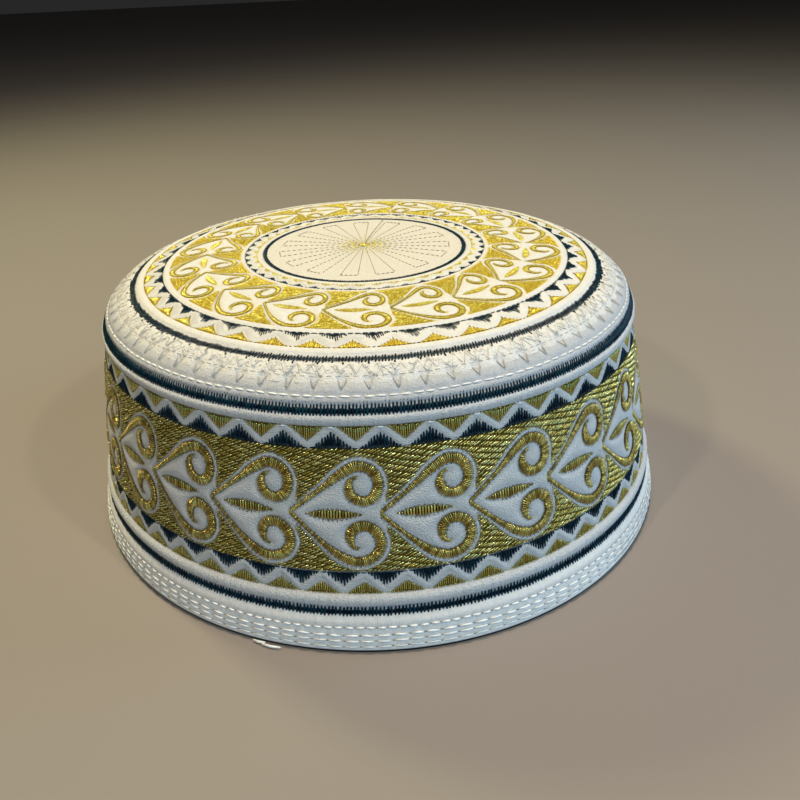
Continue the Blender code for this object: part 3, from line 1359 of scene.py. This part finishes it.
def scroll_pieces():
    """Both bands of hearts: outlines, satin lobes, leaves, needle dots and gold ground."""
    outlines = heart_ridges("side_heart_outlines", SIDE_SCROLL, scale=1.0, seed=25)
    finish_piece(outlines, "padded_cloth", SIDE.solid)
    outlines = heart_ridges("crown_heart_outlines", CROWN_SCROLL, scale=0.78, seed=26)
    finish_piece(outlines, "crown_padding", CROWN.solid)
    satin = Stitches(21, tumble=0.08, facets=True)
    satin_stitches(satin, SIDE_SCROLL, pitch=0.46, scale=1.0, wide=1.0, bow=0.95)
    leaf_stitches(satin, SIDE_SCROLL, pitch=0.72, scale=1.0)
    sewn_piece("side_scroll_satin", SIDE, "satin_thread", satin, shades=(0.0, 0.9))
    dots = Stitches(28)
    needle_dots(dots, SIDE_SCROLL, pitch=1.15, width=0.34)
    # A dotted line of painted needle-hole shade along the upper border's edge
    low = UPPER_EDGE - 0.10
    high = UPPER_EDGE + 0.30
    ring_stitches(dots, SIDE, low, high, pitch=0.92, lean=0.0, ragged=0.06, width=0.40)
    sewn_piece("side_needle_dots", SIDE, "dark_gold_thread_and_shade", dots, DOT)
    satin = Stitches(22, tumble=0.2, facets=True)
    satin_stitches(satin, CROWN_SCROLL, pitch=0.45, scale=0.77, wide=0.52, bow=0.25)
    leaf_stitches(satin, CROWN_SCROLL, pitch=0.6, scale=0.77)
    sewn_piece("crown_scroll_satin", CROWN, "bright_gold_thread", satin, shades=(0.2, 1.0))
    ground = Stitches(23, tumble=0.25, facets=True)
    fill_stitches(
        ground,
        SIDE_SCROLL,
        row_pitch=1.6,
        spacing=0.92,
        run=2.3,
        reach=0.62,
        width=0.50,
        fall=3.375,
        loose=0.04,
    )
    sewn_piece("side_gold_ground", SIDE, "gold_thread", ground)
    ground = Stitches(24, tumble=0.4, facets=True)
    fill_stitches(
        ground,
        CROWN_SCROLL,
        row_pitch=0.85,
        spacing=0.62,
        run=0.95,
        reach=0.67,
        width=0.42,
        fall=1,
        loose=0.25,
    )
    sewn_piece("crown_gold_ground", CROWN, "bright_gold_thread", ground)
    edges = Stitches(27)
    satin_edges(edges, CROWN_SCROLL, steps=32, width=0.17)
    running_stitches(edges, CROWN, CROWN_GOLD.base, dash=0.9, count=358, width=0.24)
    tips = CROWN_GOLD._replace(apex=CROWN_GOLD.apex + 0.35)
    triangle_stitches(
        edges, tips, half=4.3, pitch=0.72, width=0.30, ragged=0.1, bell=1.3, start=0.75
    )
    sewn_piece("crown_satin_edges", CROWN, "dark_gold_thread_and_shade", edges)


def border_pieces():
    """Navy rings, and the navy and gold triangles on both sides of each zigzag."""
    navy = Stitches(31)
    comb_ring(navy, UPPER_RING_FOOT, UPPER_RING_TOP, pitch=0.84, lean=0.2)
    comb_ring(navy, LOWER_RING_FOOT, LOWER_RING_TOP, pitch=0.93, lean=0.3)
    triangle_stitches(navy, UPPER_NAVY, half=4.8, pitch=0.72, width=0.58, ragged=0.45)
    triangle_stitches(navy, LOWER_NAVY, half=4.5, pitch=0.72, width=0.58, ragged=0.45)
    running_stitches(navy, SIDE, UPPER_NAVY.base, dash=1.6, count=308, width=0.4)
    running_stitches(navy, SIDE, LOWER_NAVY.base, dash=1.6, count=329, width=0.4)
    sewn_piece("side_navy_stitching", SIDE, "navy_thread", navy)
    navy = Stitches(32)
    ties = turns(EDGE_COUNT, EDGE_FIRST)
    foot = OUTER_RING_OUT - 0.85
    navy.add(CROWN, (ties, foot), (ties, foot + 0.75), width=0.55, rise=0.3, lift=0.3, bow=0.05)
    for low, high, pitch, lean, ragged, width, bow in (
        (OUTER_RING_OUT, OUTER_RING_MIDDLE + 0.1, 0.78, 0.3, 0.45, 0.50, 0.05),
        (OUTER_RING_MIDDLE - 0.1, OUTER_RING_IN, 0.78, 0.3, 0.30, 0.50, 0.05),
        (MEDALLION_RING_OUT, MEDALLION_RING_IN, 0.6, 0.2, 0.12, 0.62, 0.1),
    ):
        ring_stitches(navy, CROWN, low, high, pitch, lean, ragged, width, bow)
    triangle_stitches(
        navy, CROWN_NAVY, half=4.4, pitch=0.58, width=0.38, ragged=0.5, bell=1.4, lean=-0.25
    )
    running_stitches(navy, CROWN, CROWN_NAVY.base, dash=1.5, count=220, width=0.34)
    triangle_stitches(navy, SMALL_NAVY, half=2.1, pitch=0.42, width=0.32, ragged=0.2, bell=1.3)
    running_stitches(navy, CROWN, SMALL_NAVY.base, dash=1.0, count=182, width=0.22)
    sewn_piece("crown_navy_stitching", CROWN, "navy_thread", navy)
    gold = Stitches(33, tumble=0.25, facets=True)
    triangle_stitches(gold, UPPER_GOLD, half=4.4, pitch=0.5, width=0.42, ragged=0.15)
    triangle_stitches(gold, LOWER_GOLD, half=4.2, pitch=0.5, width=0.42, ragged=0.15)
    running_stitches(gold, SIDE, UPPER_EDGE, dash=0.9, count=400, width=0.25)
    running_stitches(gold, SIDE, LOWER_EDGE, dash=0.9, count=434, width=0.25)
    sewn_piece("side_gold_triangles", SIDE, "gold_thread", gold, shades=(0.0, 0.5))
    gold = Stitches(34, tumble=0.3, facets=True)
    triangle_stitches(gold, CROWN_GOLD, half=4.2, pitch=0.5, width=0.42, ragged=0.25, bell=1.3)
    triangle_stitches(gold, SMALL_GOLD, half=1.7, pitch=0.42, width=0.30, ragged=0.1)
    running_stitches(gold, CROWN, SMALL_GOLD.base, dash=0.8, count=193, width=0.2)
    sewn_piece("crown_gold_triangles", CROWN, "bright_gold_thread", gold)


def medallion_rays():
    """Dashed gold rays sewn out from the middle of the crown and back, in pairs."""
    gold = Stitches(41)
    starts = RAY_FIRST + RAY_STEP * np.arange(RAY_PAIRS)
    starts[: len(RAY_SHIFTS)] += RAY_SHIFTS
    for start in starts:
        for angle in (start, start + RAY_PAIR):
            radius = np.arange(RAY_IN, RAY_OUT, RAY_PITCH)
            y = crown_y(radius + gold.draw.uniform(-0.1, 0.1, len(radius)))
            turn = angle + gold.draw.uniform(-0.4, 0.4)
            gold.add(CROWN, (turn, y), (turn, y - RAY_DASH), width=0.26, rise=0.2, lift=0.02)
        y = crown_y(RAY_JOIN)
        across = start + np.arange(4) / 4 * RAY_PAIR
        gold.add(CROWN, (across, y), (across + RAY_PAIR / 5, y), width=0.3, rise=0.2)
    sewn_piece("medallion_rays", CROWN, "ray_thread", gold)
    star = Stitches(42)
    for start, end, count in ((0.3, 2.4, 15), (2.8, 4.4, 30), (4.9, 6.4, 30), (7.2, 8.4, 30)):
        angle = turns(count, RAY_FIRST)
        slip = star.draw.uniform(-0.6, 0.6, count)
        places = [(angle, crown_y(radius) + slip) for radius in (start, end)]
        star.add(CROWN, *places, width=0.30, rise=0.24, lift=0.03)
    sewn_piece("medallion_star", CROWN, "bright_gold_thread", star, shades=(0.4, 1.0))


def white_stitching():
    """White running stitches of the shoulder and hem, and grey stitches between the hem's, as painted
    shade of the needle holes.
    """
    white = Stitches(51, roll=0.5, tumble=0.1)
    holes = Stitches(53)
    peaks = turns(UPPER_COUNT, UPPER_FIRST)
    level = UPPER_EDGE - 0.1
    white.add(SIDE, (peaks - 0.55, level), (peaks + 0.55, level), 0.5, 0.4, 0.35, 0.1)
    running_stitches(white, SIDE, SHOULDER_ROW, 2.6, 176, 0.52, rise=0.45, lift=0.22)
    low, middle, top = HEM_ROWS
    for y, dash, count, width, rise, lift in (
        (top, 2.15, HEM_TOP_STITCHES, 0.66, 0.60, 0.24),
        (middle, 3.35, HEM_STITCHES, 0.68, 0.58, 0.20),
        (low, 3.35, HEM_STITCHES, 0.68, 0.58, 0.20),
        (HEM_LOW_ROW, 3.35, HEM_STITCHES, 0.64, 0.45, 0.14),
    ):
        running_stitches(white, SIDE, y, dash, count, width, holes, rise, lift)
    sewn_piece("side_running_stitches", SIDE, "white_thread", white, LONG_STITCH)
    sewn_piece("side_needle_hole_shade", SIDE, "needle_hole_shade", holes)


def crown_edge_ties():
    """V-shaped stitches that hold the crown's edge to the side, and a row of dashes over them. The V's
    grey is painted shadow of their pull into the cloth; the dashes share its thread.
    """
    grey = Stitches(54)
    centre = turns(EDGE_COUNT, EDGE_FIRST)
    centre = centre + grey.draw.uniform(-0.25, 0.25, EDGE_COUNT)
    top = side_y(68.95)
    foot = side_y(67.75)
    half = 1.2 / SIDE.per_degree(foot)
    for side in (-1, 1):
        reach = half * grey.draw.uniform(0.6, 1.3, EDGE_COUNT)
        point = foot + grey.draw.uniform(-0.2, 0.2, EDGE_COUNT)
        grey.add(
            SIDE,
            (centre + side * reach, top),
            (centre, point),
            width=0.34,
            rise=0.2,
            lift=0.70,
            bow=0.22,
        )
    edge_line = EDGE_OUT - 0.4
    running_stitches(
        grey, CROWN, edge_line, dash=1.5, count=3 * EDGE_COUNT, width=0.20, rise=0.2, lift=0.35
    )
    sewn_piece("crown_edge_ties", CROWN, "tie_thread_and_shadow", grey)


def crown_edge_stitches():
    """Criss-cross thread along the crown's edge, with loose bits, and a tangle behind its left."""
    white = Stitches(52)
    for steps, shift in ((300, 0.0), (228, 0.5)):
        angle = np.arange(steps + 1) * 360 / steps + shift
        ends = np.where(np.arange(steps + 1) % 2 == 0, EDGE_IN, EDGE_OUT)
        ends = ends + white.draw.uniform(-0.7, 0.7, steps + 1)
        angle = angle + white.draw.uniform(-0.35, 0.35, steps + 1)
        white.add(
            CROWN,
            (angle[:-1], ends[:-1]),
            (angle[1:], ends[1:]),
            width=white.draw.uniform(0.24, 0.36, steps),
            rise=0.22,
            lift=white.draw.uniform(0.20, 0.42, steps),
            bow=0.1,
        )
    count = 900
    angle = white.draw.uniform(0, 360, count)
    y = white.draw.uniform(EDGE_OUT, EDGE_IN, count)
    turn = white.draw.uniform(0, 2 * math.pi, count)
    length = white.draw.uniform(0.5, 1.5, count)
    end = (angle + length * np.cos(turn) / EDGE_PER_DEGREE, y + 0.6 * length * np.sin(turn))
    white.add(CROWN, (angle, y), end, width=0.22, rise=0.18, lift=0.38, bow=0.15)
    count = 160
    angle = white.draw.uniform(196, 232, count)
    length = white.draw.uniform(0.8, 2.2, count)
    turn = white.draw.uniform(-1.0, 1.0, count)
    white.add(
        CROWN,
        (angle, white.draw.uniform(EDGE_OUT - 1.5, EDGE_IN, count)),
        (angle + turn / EDGE_PER_DEGREE, white.draw.uniform(EDGE_OUT - 2.5, EDGE_IN, count)),
        width=0.24,
        rise=0.20,
        lift=white.draw.uniform(0.3, 0.9, count),
        bow=0.35 * length,
    )
    sewn_piece("crown_edge_stitches", CROWN, "grey_thread", white)


def loose_threads():
    """A thread tail at the hem, and one carried over the medallion to the ring behind it."""
    tail = Stitches(61)
    y = side_y(0.8)
    for start, end, out in ((-20.6, -18.2, 0.7), (-19.0, -15.4, 1.3)):
        tail.add(SIDE, (start, y), (end, y), width=0.65, rise=0.6, lift=out, bow=0.35)
    sewn_piece("hem_thread_tail", SIDE, "white_thread", tail, LONG_STITCH)
    carried = Stitches(62)
    y = crown_y(np.linspace(1.0, 31.0, 7))
    turn = 168.0 + np.array([0.0, 3.0, 1.5, 0.8, 0.4, 0.2, 0.0])
    end = (turn[1:], y[1:] - 0.1)
    carried.add(CROWN, (turn[:-1], y[:-1]), end, width=0.18, rise=0.18, lift=0.2, bow=0.0)
    sewn_piece("medallion_carried_thread", CROWN, "dark_gold_thread_and_shade", carried, LONG_STITCH)


# Camera, lights and floor

# Each as name, place, size, power and colour
LIGHTS = [
    ("warm_above", (0.0, 0.0, 0.95), 0.20, 6.0, (1.0, 0.80, 0.57)),
    ("warm_behind_left", (-0.45, 0.45, 0.70), 0.15, 3.5, (1.0, 0.98, 0.52)),
    ("warm_front_left", (-0.45, -0.50, 0.75), 0.05, 2.0, (1.0, 0.86, 0.60)),
    ("warm_front_right", (0.50, -0.45, 0.75), 0.05, 2.0, (1.0, 0.90, 0.62)),
    ("cool_front_right", (0.45, -0.85, 0.35), 0.90, 4.6, (0.32, 0.68, 1.0)),
    ("cool_right", (0.90, 0.10, 0.35), 0.60, 3.8, (0.58, 0.80, 1.0)),
]
LIGHTS_AIM = (0, 0, 0.04)
FLOOR_COLOUR = (0.25, 0.222, 0.207, 1)

CAMERA_PITCH = math.radians(28.198)
CAMERA_ROLL = -0.047248
CAMERA_DISTANCE = 0.2765
CAMERA_TARGET = np.array([0.00888, 0.0, 0.02176])
CAMERA_LENS = 36.0


def add_camera():
    forward = np.array([0.0, math.cos(CAMERA_PITCH), -math.sin(CAMERA_PITCH)])
    upward = np.array([0.0, math.sin(CAMERA_PITCH), math.cos(CAMERA_PITCH)])
    right = np.array([1.0, 0.0, 0.0])
    across = math.cos(CAMERA_ROLL) * right + math.sin(CAMERA_ROLL) * upward
    above = -math.sin(CAMERA_ROLL) * right + math.cos(CAMERA_ROLL) * upward
    eye = CAMERA_TARGET - forward * CAMERA_DISTANCE
    data = bpy.data.cameras.new("camera")
    data.lens = CAMERA_LENS
    data.sensor_width = 36.0
    data.clip_start = 0.01
    camera = link_new("camera", data)
    camera.matrix_world = Matrix(
        [[across[i], above[i], -forward[i], eye[i]] for i in range(3)] + [[0, 0, 0, 1]]
    )
    bpy.context.scene.camera = camera


def add_light(name, place, size, power, colour):
    """A round soft light, aimed at the middle of the cap."""
    data = bpy.data.lights.new(name, "AREA")
    data.shape = "DISK"
    data.size = size
    data.energy = power
    data.color = colour
    light = link_new(name, data)
    light.location = place
    aim = Vector(LIGHTS_AIM) - light.location
    light.rotation_euler = aim.to_track_quat("-Z", "Y").to_euler()


def add_stage():
    """A plain floor, a weak even sky, and warm lights above and cool ones at the front and right."""
    builder = bmesh.new()
    bmesh.ops.create_grid(builder, x_segments=1, y_segments=1, size=6.0)
    floor = new_object("floor", builder)
    material, tree, shader = new_material("floor")
    shader.inputs["Base Color"].default_value = FLOOR_COLOUR
    shader.inputs["Roughness"].default_value = 0.8
    floor.data.materials.append(material)
    world = bpy.data.worlds.new("studio")
    world.use_nodes = True
    sky = world.node_tree.nodes["Background"]
    sky.inputs["Color"].default_value = (1.0, 1.0, 1.0, 1)
    sky.inputs["Strength"].default_value = 0.02
    bpy.context.scene.world = world
    for light in LIGHTS:
        add_light(*light)
    bpy.context.scene.view_settings.view_transform = "Standard"


cloth_pieces()
zigzag_ridges()
scroll_pieces()
border_pieces()
medallion_rays()
white_stitching()
crown_edge_ties()
crown_edge_stitches()
loose_threads()
add_camera()
add_stage()
